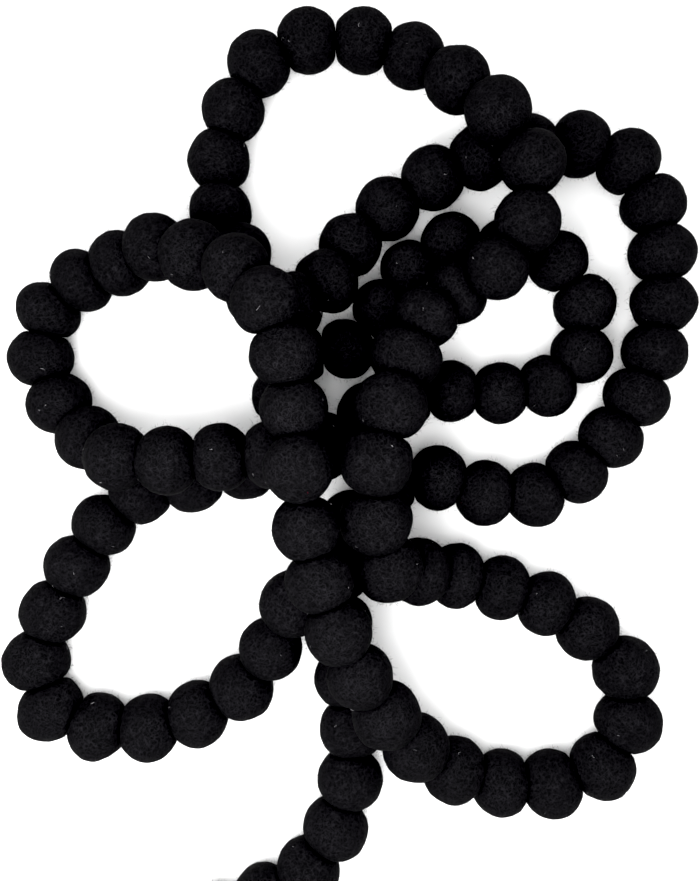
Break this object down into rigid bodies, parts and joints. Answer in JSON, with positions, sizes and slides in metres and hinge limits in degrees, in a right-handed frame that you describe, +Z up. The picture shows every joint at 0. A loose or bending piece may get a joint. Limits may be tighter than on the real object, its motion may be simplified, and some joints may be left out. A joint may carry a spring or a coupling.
{
  "type": "felt ball garland",
  "caption": "Matte black wool felt balls strung tightly face to face on one strand, laid flat in a loose pile of open loops that cross in two columns at the middle.",
  "frame": {"origin": "centre of the laid garland's outline in plan, on the surface it lies on", "axes": "+Z up out of the surface, +Y from the strand's loose end towards the loop furthest from it, +X towards the side with the large loop"},
  "size_m": [0.2666, 0.3685, 0.0709],
  "materials": {
    "felt": "matte matted wool felt with a short fuzz"
  },
  "bodies": {
    "root": {"balls_01": "felt", "balls_02": "felt", "balls_03": "felt", "balls_04": "felt", "balls_05": "felt", "balls_06": "felt", "balls_07": "felt", "balls_08": "felt", "balls_09": "felt", "balls_10": "felt", "balls_11": "felt", "balls_12": "felt", "balls_13": "felt", "balls_14": "felt", "balls_15": "felt", "balls_16": "felt", "balls_17": "felt", "balls_18": "felt", "balls_19": "felt", "balls_20": "felt", "balls_21": "felt", "balls_22": "felt", "balls_23": "felt", "balls_24": "felt", "balls_25": "felt", "balls_26": "felt", "balls_27": "felt", "balls_28": "felt", "balls_29": "felt", "balls_30": "felt", "balls_31": "felt", "balls_32": "felt", "balls_33": "felt", "balls_34": "felt", "balls_35": "felt", "balls_36": "felt", "balls_37": "felt", "balls_38": "felt", "balls_39": "felt"}
  },
  "joints": []
}
